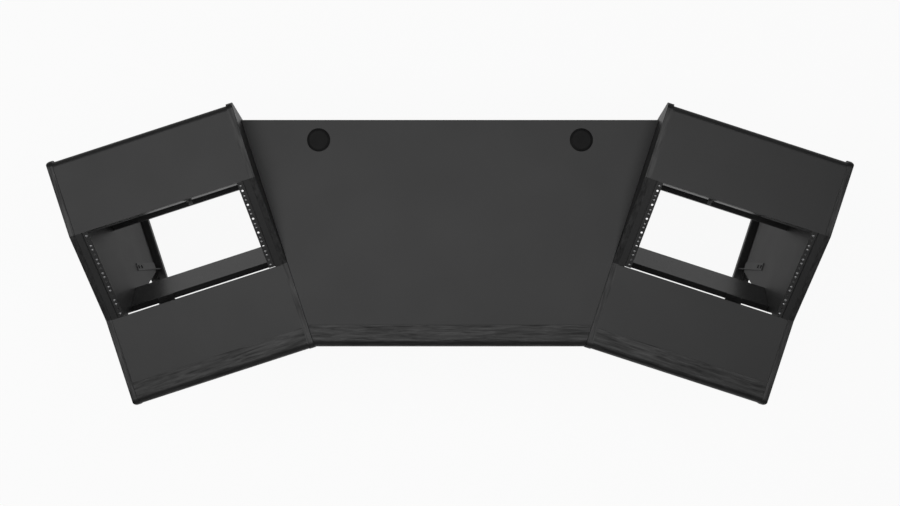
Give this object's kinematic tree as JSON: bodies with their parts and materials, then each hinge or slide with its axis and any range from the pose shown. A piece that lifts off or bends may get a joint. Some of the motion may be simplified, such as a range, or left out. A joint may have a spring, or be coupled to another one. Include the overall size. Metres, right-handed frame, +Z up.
{
  "type": "studio desk",
  "caption": "Studio desk: a trapezoid desktop between two inward-turned side racks, each with an armrest, a sloped rack bay, a raised monitor shelf and T-shaped legs.",
  "frame": {"origin": "on the floor, below the middle of the desk's overall box", "axes": "+X to the sitter's right, +Y to the back, +Z up"},
  "size_m": [2.3216, 0.8834, 0.8446],
  "materials": {
    "laminate": "matt charcoal laminate, slightly textured",
    "stained_wood": "black-stained solid wood, satin lacquer",
    "black_steel": "black powder coat",
    "zinc": "bright zinc",
    "black_plastic": "moulded black plastic"
  },
  "bodies": {
    "frame": {"desktop": "laminate", "desktop_nosing": "stained_wood", "modesty_panel": "laminate", "modesty_brackets": "black_steel", "modesty_screws": "zinc", "desk_screws": "zinc", "left_desk_bracket": "black_steel", "left_grommet_sleeve": "black_plastic", "right_desk_bracket": "black_steel", "right_grommet_sleeve": "black_plastic", "left_outer_cheek": "stained_wood", "left_inner_cheek": "stained_wood", "left_outer_panel": "laminate", "left_inner_panel": "laminate", "left_monitor_shelf": "laminate", "left_shelf_apron": "laminate", "left_armrest": "laminate", "left_armrest_nosing": "stained_wood", "left_knee_board": "laminate", "left_stretcher": "laminate", "left_outer_rail": "black_steel", "left_inner_rail": "black_steel", "left_rack_screws": "zinc", "left_panel_bolts": "black_steel", "left_outer_foot_rail": "black_steel", "left_inner_foot_rail": "black_steel", "left_straps": "black_steel", "left_fitting_screws": "black_steel", "left_knee_tie": "black_steel", "left_cable_clip": "black_steel", "right_outer_cheek": "stained_wood", "right_inner_cheek": "stained_wood", "right_outer_panel": "laminate", "right_inner_panel": "laminate", "right_monitor_shelf": "laminate", "right_shelf_apron": "laminate", "right_armrest": "laminate", "right_armrest_nosing": "stained_wood", "right_knee_board": "laminate", "right_stretcher": "laminate", "right_outer_rail": "black_steel", "right_inner_rail": "black_steel", "right_rack_screws": "zinc", "right_panel_bolts": "black_steel", "right_outer_foot_rail": "black_steel", "right_inner_foot_rail": "black_steel", "right_straps": "black_steel", "right_fitting_screws": "black_steel", "right_knee_tie": "black_steel", "right_cable_clip": "black_steel"},
    "left_grommet_cap": {"left_grommet_cap": "black_plastic"},
    "right_grommet_cap": {"right_grommet_cap": "black_plastic"},
    "left_outer_front_glide": {"left_outer_front_glide": "black_plastic"},
    "left_outer_back_glide": {"left_outer_back_glide": "black_plastic"},
    "left_inner_front_glide": {"left_inner_front_glide": "black_plastic"},
    "left_inner_back_glide": {"left_inner_back_glide": "black_plastic"},
    "right_outer_front_glide": {"right_outer_front_glide": "black_plastic"},
    "right_outer_back_glide": {"right_outer_back_glide": "black_plastic"},
    "right_inner_front_glide": {"right_inner_front_glide": "black_plastic"},
    "right_inner_back_glide": {"right_inner_back_glide": "black_plastic"}
  },
  "joints": [
    {"name": "left_grommet_cap_lift", "type": "slide", "parent": "frame", "child": "left_grommet_cap", "axis": [0, 0, 1], "range_m": [0, 0.03]},
    {"name": "right_grommet_cap_lift", "type": "slide", "parent": "frame", "child": "right_grommet_cap", "axis": [0, 0, 1], "range_m": [0, 0.03]},
    {"name": "left_outer_front_glide_screw", "type": "slide", "parent": "frame", "child": "left_outer_front_glide", "axis": [0, 0, -1], "range_m": [0, 0.01]},
    {"name": "left_outer_back_glide_screw", "type": "slide", "parent": "frame", "child": "left_outer_back_glide", "axis": [0, 0, -1], "range_m": [0, 0.01]},
    {"name": "left_inner_front_glide_screw", "type": "slide", "parent": "frame", "child": "left_inner_front_glide", "axis": [0, 0, -1], "range_m": [0, 0.01]},
    {"name": "left_inner_back_glide_screw", "type": "slide", "parent": "frame", "child": "left_inner_back_glide", "axis": [0, 0, -1], "range_m": [0, 0.01]},
    {"name": "right_outer_front_glide_screw", "type": "slide", "parent": "frame", "child": "right_outer_front_glide", "axis": [0, 0, -1], "range_m": [0, 0.01]},
    {"name": "right_outer_back_glide_screw", "type": "slide", "parent": "frame", "child": "right_outer_back_glide", "axis": [0, 0, -1], "range_m": [0, 0.01]},
    {"name": "right_inner_front_glide_screw", "type": "slide", "parent": "frame", "child": "right_inner_front_glide", "axis": [0, 0, -1], "range_m": [0, 0.01]},
    {"name": "right_inner_back_glide_screw", "type": "slide", "parent": "frame", "child": "right_inner_back_glide", "axis": [0, 0, -1], "range_m": [0, 0.01]}
  ]
}
